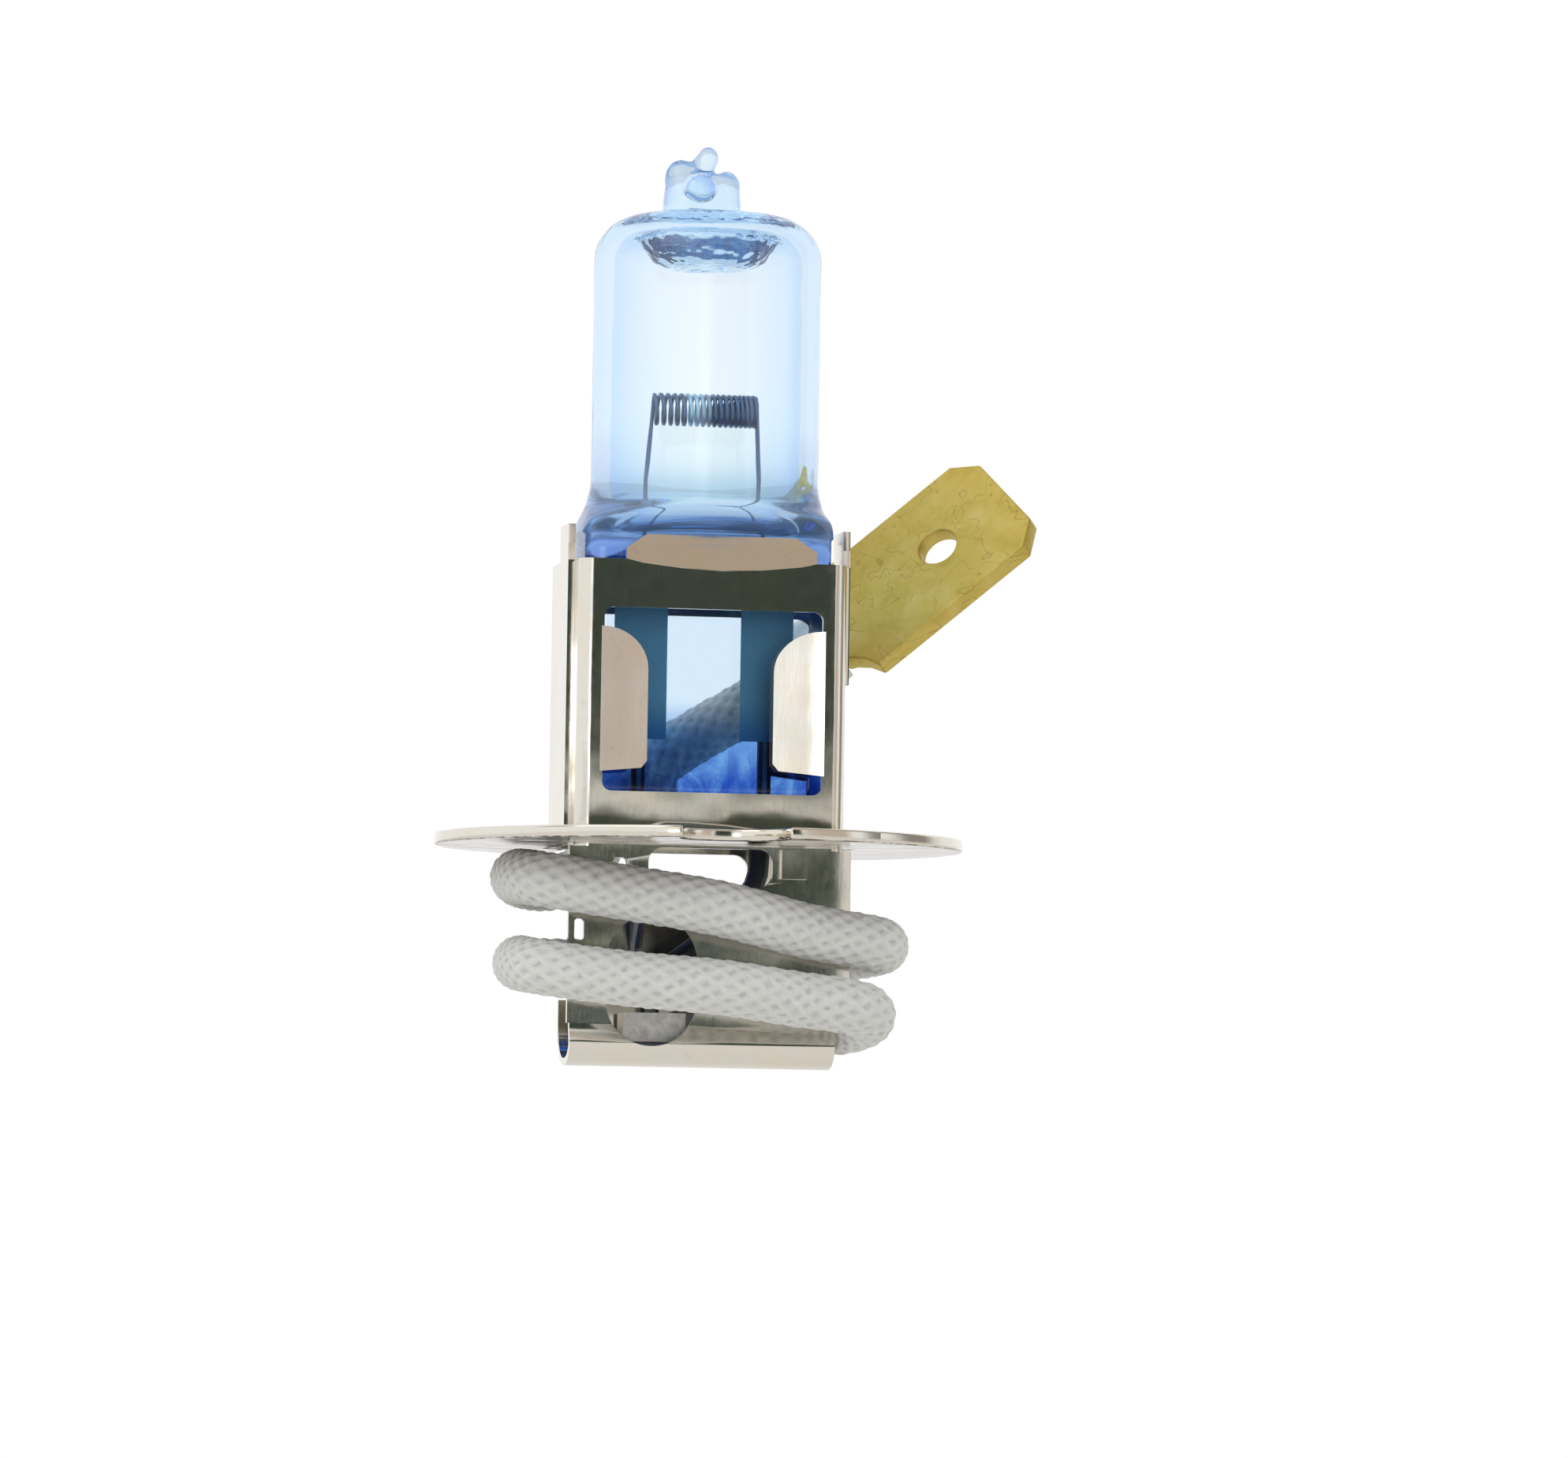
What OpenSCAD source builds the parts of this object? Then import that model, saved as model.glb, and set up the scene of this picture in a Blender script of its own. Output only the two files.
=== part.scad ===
// Single-filament halogen headlight bulb on a round prefocus flange, with a braided flying
// lead wound round its cap and a flat blade terminal on the lead's end.
// Origin: centre of the flange's seating face. +Z runs along the bulb towards the tip,
// -Y faces the front of the cap, and +X is the side that the terminal leans out on.

/* [Glass] */
// Outer diameter of the glass tube
glass_d = 9.5; // [9.2:0.1:9.8]
// Wall thickness of the glass tube
glass_wall = 0.8; // [0.7:0.1:1]
// Height of the dome's outer top above the seating face
dome_z = 26.2; // [25.6:0.1:27]
// Width of the flat press seal
pinch_w = 10.4; // [10:0.1:10.6]
// Thickness of the flat press seal
pinch_t = 4; // [3.6:0.1:4.1]

/* [Filament] */
// Height of the filament's centre above the seating face
light_centre = 17.8; // [17.2:0.1:18.2]
// Length of the coil across the bulb
coil_len = 4.4; // [4:0.1:4.8]
// Outer diameter of the coil
coil_d = 1.4; // [1.2:0.1:1.6]
// Turns in the coil
coil_turns = 16; // [12:1:18]

/* [Cap] */
// Outer width of the rear shell
cap_w = 11.9; // [11.7:0.1:12.1]
// Outer depth of the cap, front face to back face
cap_depth = 6; // [5.9:0.1:6.2]
// Thickness of the sheet metal
sheet = 0.3; // [0.25:0.01:0.32]
// Height of the cap's top edge
cap_top = 11.3; // [11:0.1:11.5]

/* [Flange] */
// Outer diameter of the prefocus flange
flange_d = 22; // [21.8:0.1:22.2]
// Thickness of the flange
flange_t = 0.5; // [0.4:0.05:0.6]
// Width of the locating notch in the front edge
notch_w = 4.4; // [3.5:0.1:5]
// Width of the slot in the rear edge that the lead passes through
rear_slot_w = 10; // [9.6:0.1:10.4]

/* [Lead and terminal] */
// Outer diameter of the braided lead
lead_d = 2.3; // [2.1:0.1:2.4]
// Width of the blade terminal
blade_w = 6.3; // [6.2:0.1:6.4]
// Thickness of the blade terminal
blade_t = 0.8; // [0.7:0.05:0.85]
// Diameter of the detent hole in the blade
blade_hole_d = 1.7; // [1.5:0.1:1.9]

/* [Hidden] */
$fn = 64;
e = 0.01;                              // small overrun, so that cuts pass right through

glass_r = glass_d / 2;
cavity_r = glass_r - glass_wall;
pinch_bottom = 0.8;
pinch_top = 12.4;                      // where the flat press opens into the round tube
round_z = 13.9;                        // front and back of the glass are round from here up
belly_steps = 5;                       // flats between the press and the round tube
belly_over = 0.3;                      // the last flat runs this far outside the tube
flare_r = 5.3;                         // the glass is widest just above the press
tube_bottom = 14.8;                    // its sides are straight from here up
cavity_floor = 13.2;
cavity_chamfer = 1.1;                  // slope between the cavity's floor and its wall
dome_wall = 1.2;
cavity_shoulder = 1.1;                 // slope between the cavity's wall and the dome
// The nub that hangs inside the dome under the exhaust tip: radius and drop
NUB = [[2.9, 0], [2, 1.4], [0, 1.6]];
shoulder_r = 2;                        // rounding between the tube and the dome
// Outline of the sealed-off exhaust tip, seen from the front, above the dome
TIP = [[-1.8, 0], [1.3, 0], [1.2, 1.2], [0.9, 1.6], [0.4, 1.8], [0.2, 2.3], [-0.1, 2.5],
       [-0.5, 2.3], [-0.7, 1.9], [-1.2, 2], [-1.6, 1.8], [-1.8, 1.3]];
tip_t = 1.6;

wire_r = 0.09;
coil_r = coil_d / 2 - wire_r;
leg_top_x = coil_len / 2;
leg_foot_x = [-2.6, 2.4];              // where the two legs enter the press
leg_foot_z = 10;

foil_w = 2.2;
foil_t = 0.06;
foil_z = [4, 10.6];
outer_lead_r = 0.3;
lead_y = wire_r + foil_t + outer_lead_r - e;
outer_lead_x = 2.65;
sleeve_wall = 0.15;
sleeve_play = 0.04;
lead_top = 5.2;                        // the outer leads end on their foils

front_y = -cap_depth / 2;
back_y = cap_depth / 2;
front_w = cap_w - 2 * sheet;           // the front shell nests inside the rear shell
skirt_w = 11.8;                        // front panel below the flange
bend_r = 0.6;                          // outer radius of a folded edge
front_flange_y = 1.2;                  // how far back the front shell's sides reach
rear_edge_y = [-1.65, -0.9];           // front edges of the rear shell's sides, high and low
rear_step_z = 6.4;                     // height of the step between them, on the right
side_tab = [-1.6, 0.5, 12.8];          // upstanding tabs beside the glass: from y, to y, top
tongue_w = [8, 6.3];
tongue_x = 0.3;
tongue_len = 1.1;
tongue_straight = 0.45;                // share of its length before the corners are cut off
tongue_lean = 14;
// Foot of the tongue, a shallow curve pressed out of the panel below its top edge: x and height
TONGUE_FOOT = [[3.3, -0.15], [1.7, -0.32], [0, -0.4], [-1.7, -0.32], [-3.3, -0.15]];
overlap = 0.1;                         // features start this far inside the panel they join

window = [4.6, 1.7, 9.3];              // half width, bottom and top of the upper windows
window_r = 0.38;
grip_base = [2.5, 8.5];                // low and high ends of a grip tab where it is hinged
grip_edge = [3, 6.8];                  // and at its free edge
grip_steps = 10;                       // sides to the curve between the hinge and the free edge
grip_corner = [0.25, 0.3];             // cut off the lower corner of the free edge
grip_len = 2.05;
grip_lean = 17;
see_window = [5.2, -2.2, 0.6];         // width, bottom and corner radius, below the flange
see_window_extra = 0.6;                // the rear shell's window reaches this much further left
peep_hole = [-4.2, -1.5];              // small hole in the front panel: left and bottom
peep_size = [0.7, 0.45, 0.2];          // width, height and corner radius
side_slit = [-5.65, -4.5];             // small slit beside its left edge: left and bottom
slit_size = [0.4, 0.9, 0.15];
lug_at = [2.9, -1.8];                  // tab that holds the flange up: left and bottom
lug_size = [1.1, 0.5, 1.2];
side_foot = [0.6, 2];                  // the front shell's sides end here, but for a short foot
skirt_top = -flange_t - 0.1;
hook_y = front_y + 1.6;                // the clamp is rolled round this line
hook_z = -7.9;
// Outside of the rolled clamp from front to back, as y and z from that line
HOOK = [[-1.6, 0], [-1.7, -0.4], [-1.8, -0.8], [-1.65, -1.2], [-1.2, -1.55], [-0.5, -1.72],
        [0.3, -1.66], [1, -1.3], [1.45, -0.7], [1.6, 0]];
hook_back_y = hook_y + HOOK[len(HOOK) - 1][0] - sheet;
hook_back_top = -6.9;
hook_x = [-5.8, 5.3];
corner_cut_z = -6.1;                   // below this the right edge makes room for the lead
access_x = -2.4;                       // upright slot that the splice is welded through
access_r = 1.9;
access_z = [-6.9, -5.3];
rear_skirt_w = 8.2;

flange_r = flange_d / 2;
flange_gap = 0.02;                     // play between the flange's hole and the panels
flange_side_gap = 0.05;                // and between it and the cap's sides
notch_x = -0.3;
notch_depth = 3;
// Outline of the flange's raised lip at the cap's front: x and height
LIP = [[-2.8, -0.01], [-2.6, 0.3], [-2, 0.5], [-1, 0.5], [0.6, 0.4], [2.2, 0.2], [3.3, -0.01]];
lip_t = 0.35;

lead_r = lead_d / 2;
core_r = 0.5;
braid_start_x = 0.4;                   // where the braid begins inside the clamp
core_start_x = -2.2;                   // the bare core reaches this far into the splice
splice_x = [-3.4, -0.8];
splice_z = [-8.6, -7.4];
splice_t = 1.6;

// Route of the lead: out of the clamp, one and a half turns round the skirt, and up behind
// the cap through the flange's rear slot
LEAD = [[0.4, -1.4, -7.9], [2.6, -1.4, -7.9], [4.5, -1.4, -7.9], [6, -1.9, -7.8],
        [6.6, -3.2, -7.5], [6.3, -4.4, -7.2], [5.1, -5.3, -7], [3.2, -5.6, -6.8],
        [0, -6, -6.4], [-3.7, -5.2, -6.1], [-6.8, -3.8, -5.7], [-7.4, 0, -5.4],
        [-6.4, 3, -5.4], [-3.7, 5.2, -5.3], [0, 6, -5.1], [3.7, 5.2, -4.9],
        [6.4, 3, -4.7], [7.5, 0, -4.5], [6.8, -3.8, -4.4], [3.7, -5.2, -4],
        [0, -6, -3.2], [-3.7, -5.2, -2.6], [-6.8, -3.8, -2.1], [-7.5, 0, -1.8],
        [-7, 2.4, -1.9], [-5.6, 4.8, -1.9], [-3.9, 6.4, -1.3], [-3, 7, 0.2],
        [-2.2, 7.2, 1.9], [-0.8, 7.1, 3.4], [0.9, 6.6, 4.6], [2.7, 5.8, 5.7],
        [4.4, 5.1, 6.9], [5.3, 4.9, 7.7]];
lead_sides = 8;

blade_turn = [49, -40, -10];           // the blade lies on its edge and leans up and out
blade_at = [7, 4.6, 9.2];              // where the blade's full width begins
blade_len = 8.9;
blade_corner = 1;                      // cut off the two corners of the blade's tip
NECK = [[-1, 1.7], [-0.7, 1.9], [-0.3, 2.4]];  // the neck's edge as it widens: along, half width
hole_from_tip = 3.7;
ferrule = [2.5, 2.8, 2.7];             // length, width and depth of the crimped ferrule
ferrule_r = 0.5;                       // rounding of its long edges
ferrule_wall = 0.2;                    // closed end towards the blade
ferrule_x = NECK[0][0] - ferrule[0];   // its lead end, measured along the blade
braid_grip = 1.2;                      // length of braid held in the ferrule

// ---------------------------------------------------------------- sweeps

function unit(v) = v / norm(v);
function along(p, i) = unit(p[min(i + 1, len(p) - 1)] - p[max(i - 1, 0)]);

// Carries one side direction along the route without twisting it
function carried(p, side, i) =
    let (t = along(p, i)) unit(side - (side * t) * t);
function sides(p, first) = [for (i = 0, s = carried(p, first, 0);
                                 i < len(p);
                                 i = i + 1, s = i < len(p) ? carried(p, s, i) : s) s];

// A smooth curve through the points, with n steps between neighbours
function bend(a, b, c, d, t) =
    0.5 * (2 * b + (c - a) * t + (2 * a - 5 * b + 4 * c - d) * t * t
           + (3 * b - a - 3 * c + d) * t * t * t);
function curve(p, n) = let (m = len(p) - 1)
    [for (i = [0:m - 1]) for (k = [0:n - 1])
        bend(p[max(i - 1, 0)], p[i], p[i + 1], p[min(i + 2, m)], k / n), p[m]];

// A closed tube of radius r swept along the points
module swept(p, r, n, first = [0, 0, 1]) {
    s = sides(p, first);
    last = len(p) - 1;
    points = [for (i = [0:last]) for (k = [0:n - 1])
        let (t = along(p, i), a = 360 * k / n) p[i] + r * (cos(a) * s[i] + sin(a) * cross(t, s[i]))];
    walls = [for (i = [0:last - 1]) for (k = [0:n - 1]) let (j = (k + 1) % n)
        each [[i * n + k, (i + 1) * n + k, (i + 1) * n + j], [i * n + k, (i + 1) * n + j, i * n + j]]];
    caps = [[for (k = [0:n - 1]) k], [for (k = [n - 1:-1:0]) last * n + k]];
    polyhedron(points, concat(walls, caps), convexity = 10);
}

// ---------------------------------------------------------------- helpers

// Extrudes an outline drawn in x and z through y from y0 to y1
module through_y(y0, y1) {
    translate([0, y1, 0]) rotate([90, 0, 0]) linear_extrude(y1 - y0) children();
}

// Extrudes an outline drawn in y and z through x from x0 to x1
module through_x(x0, x1) {
    translate([x0, 0, 0]) rotate([90, 0, 90]) linear_extrude(x1 - x0) children();
}

module rounded(w, h, r) {
    for (x = [r, w - r]) for (y = [r, h - r]) translate([x, y]) circle(r);
    translate([r, 0]) square([w - 2 * r, h]);
    translate([0, r]) square([w, h - 2 * r]);
}

// Plan of a folded channel: its web lies along y = 0 and its sides run to y = depth
module channel(w, depth, r) {
    difference() {
        translate([-w / 2, 0]) rounded(w, 2 * depth, r);
        translate([sheet - w / 2, sheet]) rounded(w - 2 * sheet, 2 * depth, r - sheet);
        translate([-w, depth]) square([2 * w, 2 * depth]);
    }
}

module slot_outline(x, z0, z1, r) {
    for (z = [z0, z1]) translate([x, z]) circle(r);
    translate([x - r, z0]) square([2 * r, z1 - z0]);
}

// ---------------------------------------------------------------- glass

module bulb_outside() {
    top = dome_z - shoulder_r;
    rotate_extrude() {
        polygon([[0, pinch_top - e], [flare_r, pinch_top - e], [glass_r, tube_bottom],
                 [glass_r, top], [0, top]]);
        translate([glass_r - shoulder_r, top]) intersection() {
            circle(shoulder_r);
            square(shoulder_r);
        }
        translate([0, top - e]) square([glass_r - shoulder_r, shoulder_r + e]);
    }
}

// Half the depth of the glass on its way from the press, at 0, to the round tube, at 1
function belly(t) = pinch_t / 2 + (glass_r + belly_over - pinch_t / 2) * t * t * (3 - 2 * t);

// Leaves the tube round and squeezes its foot flat between front and back
module press_shape() {
    rise = [for (k = [0:belly_steps]) let (t = k / belly_steps)
        [belly(t), pinch_top + (round_z - pinch_top) * t]];
    right = concat([[pinch_t / 2, -1]], rise, [[belly(1), dome_z + 1]]);
    left = [for (k = [len(right) - 1:-1:0]) [-right[k][0], right[k][1]]];
    through_x(-flare_r - 1, flare_r + 1) polygon(concat(right, left));
}

module cavity() {
    nub_z = dome_z - dome_wall;
    rotate_extrude()
        polygon(concat([[0, cavity_floor], [cavity_r - cavity_chamfer, cavity_floor],
                        [cavity_r, cavity_floor + cavity_chamfer],
                        [cavity_r, nub_z - cavity_shoulder], [cavity_r - cavity_shoulder, nub_z]],
                       [for (p = NUB) [p[0], nub_z - p[1]]]));
}

// Room in the seal for a filament leg, its foil and the lead below it
module conductor_pocket(side) {
    translate([leg_foot_x[side], 0, leg_foot_z - wire_r])
        cylinder(h = cavity_floor - leg_foot_z + 1, r = wire_r + e, $fn = 24);
    foil(side);
    translate([lead_side(side) * outer_lead_x, lead_y, pinch_bottom - 1])
        cylinder(h = lead_top - pinch_bottom + 1, r = outer_lead_r, $fn = 32);
}

module glass_envelope() {
    color("lightskyblue", 0.5) difference() {
        union() {
            intersection() {
                bulb_outside();
                press_shape();
            }
            translate([-pinch_w / 2, -pinch_t / 2, pinch_bottom])
                cube([pinch_w, pinch_t, pinch_top - pinch_bottom]);
            translate([0, 0, dome_z - e]) through_y(-tip_t / 2, tip_t / 2) polygon(TIP);
        }
        cavity();
        for (side = [0, 1]) conductor_pocket(side);
    }
}

// ---------------------------------------------------------------- inner conductors

function coil_point(a) = [-leg_top_x + coil_len * a / (360 * coil_turns),
                          -coil_r * sin(a), light_centre + coil_r * cos(a)];
function leg(side, from_z) = [for (k = [0:4]) let (z = leg_foot_z + (from_z - leg_foot_z) * k / 4)
    let (u = max(0, (z - cavity_floor) / (from_z - cavity_floor)))
        [leg_foot_x[side] + (lead_side(side) * leg_top_x - leg_foot_x[side]) * u, 0, z]];

module filament() {
    coil = [for (a = [30:30:360 * coil_turns - 30]) coil_point(a)];
    up = leg(0, light_centre + coil_r - 0.3);
    down = leg(1, light_centre + coil_r - 0.3);
    color("dimgray") swept(concat(up, coil, [for (k = [4:-1:0]) down[k]]), wire_r, 6, [0, 1, 0]);
}

// -1 for the left conductor and 1 for the right one
function lead_side(side) = 2 * side - 1;

module foil(side) {
    color("slategray") translate([lead_side(side) * outer_lead_x - foil_w / 2, wire_r, foil_z[0]])
        cube([foil_w, foil_t, foil_z[1] - foil_z[0]]);
}

module foil_left() foil(0);
module foil_right() foil(1);

weld_y = back_y - sheet - outer_lead_r;
LEFT_LEAD = [[-outer_lead_x, lead_y, lead_top], [-outer_lead_x, lead_y, 1],
             [-outer_lead_x, lead_y, 0.6], [-outer_lead_x, lead_y, 0.2],
             [-2.5, lead_y, -0.8], [-2.2, lead_y, -1.8], [-2.2, lead_y + 0.3, -2.8],
             [-2.2, weld_y - 0.3, -4.2], [-2.2, weld_y, -5], [-2.2, weld_y, -6.2]];
RIGHT_LEAD = [[outer_lead_x, lead_y, lead_top], [outer_lead_x, lead_y, 1],
              [outer_lead_x, lead_y, -0.6], [2.4, 0.2, -2], [0.9, -0.2, -3.8],
              [-1, -0.8, -5.2], [-1.9, -1.3, -6.2], [-2.1, hook_y, splice_z[1]]];
SLEEVE = [[outer_lead_x, lead_y, 0.6], [outer_lead_x, lead_y, 0.2],
          [outer_lead_x, lead_y, -0.6], [2.4, 0.2, -2], [0.9, -0.2, -3.8],
          [-1, -0.8, -5.2], [-1.4, -1, -5.7]];

module outer_lead_left() {
    color("dimgray") swept(curve(LEFT_LEAD, 3), outer_lead_r, 10, [1, 0, 0]);
}

module outer_lead_right() {
    color("dimgray") swept(curve(RIGHT_LEAD, 3), outer_lead_r, 10, [1, 0, 0]);
}

// Dark glass-fibre tube that keeps the live lead off the cap
module insulating_sleeve() {
    color("#202020") difference() {
        swept(curve(SLEEVE, 3), outer_lead_r + sleeve_wall, 12, [1, 0, 0]);
        swept(curve(RIGHT_LEAD, 3), outer_lead_r + sleeve_play, 12, [1, 0, 0]);
    }
}

// ---------------------------------------------------------------- cap

module tongue_outline() {
    straight = tongue_len * tongue_straight;
    polygon(concat([[-tongue_w[0] / 2, 0], [-tongue_w[0] / 2, straight],
                    [-tongue_w[1] / 2, tongue_len], [tongue_w[1] / 2, tongue_len],
                    [tongue_w[0] / 2, straight], [tongue_w[0] / 2, 0]], TONGUE_FOOT));
}

// Lip at the top of a panel that leans in over the glass
module tongue() {
    translate([tongue_x, front_y, cap_top]) rotate([-tongue_lean, 0, 0])
        through_y(0, sheet) tongue_outline();
}

module grip_outline() {
    drop = grip_base[1] - grip_edge[1];
    shoulder = [for (a = [0:90 / grip_steps:90])
        [grip_len * cos(a), grip_edge[1] + drop * sin(a)]];
    polygon(concat([[-overlap, grip_base[0]],
                    [grip_len - grip_corner[0], grip_edge[0] - grip_corner[1]],
                    [grip_len, grip_edge[0]]], shoulder, [[-overlap, grip_base[1]]]));
}

// Sprung tab folded in from the side of a window to press on the seal
module grip(side) {
    mirror([side, 0, 0]) translate([-window[0], front_y, 0]) rotate([0, 0, grip_lean])
        through_y(0, sheet) grip_outline();
}

module window_outline() {
    translate([-window[0], window[1]]) rounded(2 * window[0], window[2] - window[1], window_r);
}

module see_window_outline(extra) {
    translate([-see_window[0] / 2 - extra, see_window[1]])
        rounded(see_window[0] + extra, skirt_top - see_window[1], see_window[2]);
}

// A point on the inside of the clamp's sheet, square to the outside at point i
function inside(p, i) = let (t = along(p, i)) p[i] + sheet * [-t[1], t[0]];

module hook_outline() {
    out = curve(HOOK, 3);
    last = len(out) - 1;
    inner = concat([[HOOK[0][0] + sheet, 0]], [for (i = [1:last - 1]) inside(out, i)],
                   [[hook_back_y - hook_y, 0]]);
    translate([hook_y, hook_z]) polygon(concat(out, [for (i = [last:-1:0]) inner[i]]));
    translate([hook_back_y, hook_z - e]) square([sheet, hook_back_top - hook_z + e]);
}

module front_shell() {
    color("#b9b3a6") difference() {
        union() {
            translate([0, front_y, side_foot[0]]) linear_extrude(cap_top - side_foot[0])
                channel(front_w, front_flange_y - front_y, bend_r);
            translate([0, front_y, skirt_top]) linear_extrude(side_foot[0] - skirt_top + e)
                channel(front_w, side_foot[1], bend_r);
            through_y(front_y, front_y + sheet) translate([-skirt_w / 2, hook_z])
                square([skirt_w, skirt_top - hook_z]);
            through_x(hook_x[0], hook_x[1]) hook_outline();
            tongue();
        }
        through_y(front_y - 1, front_y + 1) {
            window_outline();
            see_window_outline(0);
            translate(peep_hole) rounded(peep_size[0], peep_size[1], peep_size[2]);
            translate(side_slit) rounded(slit_size[0], slit_size[1], slit_size[2]);
            translate([hook_x[1], hook_z - 1]) square([skirt_w / 2, corner_cut_z - hook_z + 1]);
        }
        through_y(front_y - 1, hook_y) slot_outline(access_x, access_z[0], access_z[1], access_r);
    }
    color("#b9b3a6") for (side = [0, 1]) grip(side);
    color("#b9b3a6") lug();
}

// Small tab lanced out of the front panel that holds the flange up
module lug() {
    translate([lug_at[0], front_y - lug_size[1], lug_at[1]])
        cube([lug_size[0], lug_size[1] + e, lug_size[2]]);
}

// Cuts back the rear shell's sides, the right one further at its foot
module rear_side_trim() {
    translate([-cap_w, rear_edge_y[0] - cap_depth, -1])
        cube([2 * cap_w, cap_depth, cap_top + 2]);
    translate([0, rear_edge_y[1] - cap_depth, -1]) cube([cap_w, cap_depth, rear_step_z + 1]);
}

module rear_shell() {
    color("#c4bfb6") difference() {
        union() {
            difference() {
                translate([0, back_y, -flange_t]) linear_extrude(cap_top + flange_t)
                    mirror([0, 1]) channel(cap_w, cap_depth, bend_r);
                rear_side_trim();
            }
            for (side = [0, 1]) mirror([side, 0, 0])
                translate([cap_w / 2 - sheet, side_tab[0], cap_top - e])
                    cube([sheet, side_tab[1] - side_tab[0], side_tab[2] - cap_top + e]);
            through_y(back_y - sheet, back_y) translate([-rear_skirt_w / 2, hook_back_top])
                square([rear_skirt_w, -flange_t - hook_back_top + e]);
            translate([-rear_skirt_w / 2, hook_back_y, hook_back_top])
                cube([rear_skirt_w, back_y - hook_back_y, sheet]);
            mirror([0, 1, 0]) tongue();
        }
        through_y(back_y - 1, back_y + 1) {
            window_outline();
            see_window_outline(see_window_extra);
        }
    }
    color("#c4bfb6") mirror([0, 1, 0]) for (side = [0, 1]) grip(side);
}

// ---------------------------------------------------------------- flange

module flange_outline() {
    half_x = cap_w / 2 + flange_side_gap;
    half_y = cap_depth / 2 + flange_gap;
    difference() {
        circle(flange_r, $fn = 96);
        translate([-half_x, -half_y]) square([2 * half_x, 2 * half_y]);
        translate([-rear_slot_w / 2, 0]) square([rear_slot_w, flange_r + 1]);
        translate([notch_x, -flange_r + notch_depth - notch_w / 2]) circle(notch_w / 2);
        translate([notch_x - notch_w / 2, -flange_r - 1])
            square([notch_w, notch_depth - notch_w / 2 + 1]);
    }
}

module flange_disc() {
    color("#d0cac2") {
        translate([0, 0, -flange_t]) linear_extrude(flange_t) flange_outline();
        through_y(front_y - flange_gap - lip_t, front_y - flange_gap) polygon(LIP);
    }
}

// ---------------------------------------------------------------- lead and terminal

module along_x(x0, x1, r, y = hook_y, z = hook_z) {
    translate([x0, y, z]) rotate([0, 90, 0]) cylinder(h = x1 - x0, r = r, $fn = 32);
}

// Flattened metal sleeve that joins the live lead to the stranded core
module splice_ferrule() {
    color("#8f8f8c") difference() {
        translate([splice_x[0], hook_y - splice_t / 2, splice_z[0]])
            cube([splice_x[1] - splice_x[0], splice_t, splice_z[1] - splice_z[0]]);
        along_x(core_start_x, splice_x[1] + 1, core_r);
    }
}

// The two bare ends of the stranded core: one in the clamp and one in the ferrule
module lead_conductor() {
    color("#b87850") {
        along_x(core_start_x, braid_start_x, core_r);
        on_ferrule() rotate([0, 90, 0]) translate([0, 0, braid_grip])
            cylinder(h = ferrule[0] - braid_grip - ferrule_wall, r = core_r, $fn = 32);
    }
}

module braided_lead() {
    color("#dedbd2") swept(curve(LEAD, 2), lead_r, lead_sides);
}

// Everything on the far end is drawn with the blade along +x, its width along y
module on_blade() {
    translate(blade_at) rotate(blade_turn) children();
}

// The ferrule's own frame: its bore along +x from the end where the braid goes in
module on_ferrule() {
    on_blade() translate([ferrule_x, 0, 0]) children();
}

module blade_outline() {
    half = blade_w / 2;
    polygon(concat([for (p = NECK) [p[0], -p[1]]],
                   [[0, -half], [blade_len - blade_corner, -half],
                    [blade_len, -half + blade_corner], [blade_len, half - blade_corner],
                    [blade_len - blade_corner, half], [0, half]],
                   [for (i = [len(NECK) - 1:-1:0]) NECK[i]]));
}

module blade_terminal() {
    color("#c9b458") on_blade() difference() {
        translate([0, 0, -blade_t / 2]) linear_extrude(blade_t) blade_outline();
        translate([blade_len - hole_from_tip, 0, -1]) cylinder(h = 2, d = blade_hole_d);
    }
}

// Folded strip closed round the end of the braid and the bare core
module crimp_ferrule() {
    color("#cfcac4") on_ferrule() difference() {
        rotate([90, 0, 90]) linear_extrude(ferrule[0])
            translate([-ferrule[1] / 2, -ferrule[2] / 2]) rounded(ferrule[1], ferrule[2], ferrule_r);
        rotate([0, 90, 0]) {
            translate([0, 0, -1]) cylinder(h = 1 + braid_grip, r = lead_r, $fn = 48);
            cylinder(h = ferrule[0] - ferrule_wall, r = core_r, $fn = 32);
        }
    }
}

glass_envelope();
filament();
foil_left();
foil_right();
outer_lead_left();
outer_lead_right();
insulating_sleeve();
front_shell();
rear_shell();
flange_disc();
splice_ferrule();
lead_conductor();
braided_lead();
crimp_ferrule();
blade_terminal();
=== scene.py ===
"""Halogen headlight bulb: the looks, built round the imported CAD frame.

Lengths are written in millimetres and turned into metres by mm(). The frame's origin is the
centre of the flange's seating face; +Z runs towards the tip and -Y faces the cap's front.
"""
import math

import bmesh
import bpy
from mathutils import Matrix, Vector


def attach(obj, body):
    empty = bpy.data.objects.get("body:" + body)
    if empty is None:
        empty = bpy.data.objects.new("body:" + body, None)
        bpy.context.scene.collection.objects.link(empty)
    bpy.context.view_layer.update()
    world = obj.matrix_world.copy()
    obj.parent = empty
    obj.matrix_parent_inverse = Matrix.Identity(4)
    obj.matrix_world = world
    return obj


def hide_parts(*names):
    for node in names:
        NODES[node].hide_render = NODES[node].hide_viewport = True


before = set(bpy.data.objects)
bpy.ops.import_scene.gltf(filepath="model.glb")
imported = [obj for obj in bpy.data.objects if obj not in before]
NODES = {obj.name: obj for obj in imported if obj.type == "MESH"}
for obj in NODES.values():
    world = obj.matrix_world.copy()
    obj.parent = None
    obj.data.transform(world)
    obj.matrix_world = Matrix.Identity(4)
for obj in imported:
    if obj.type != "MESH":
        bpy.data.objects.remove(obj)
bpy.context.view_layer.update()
BODY = "root"


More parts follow.
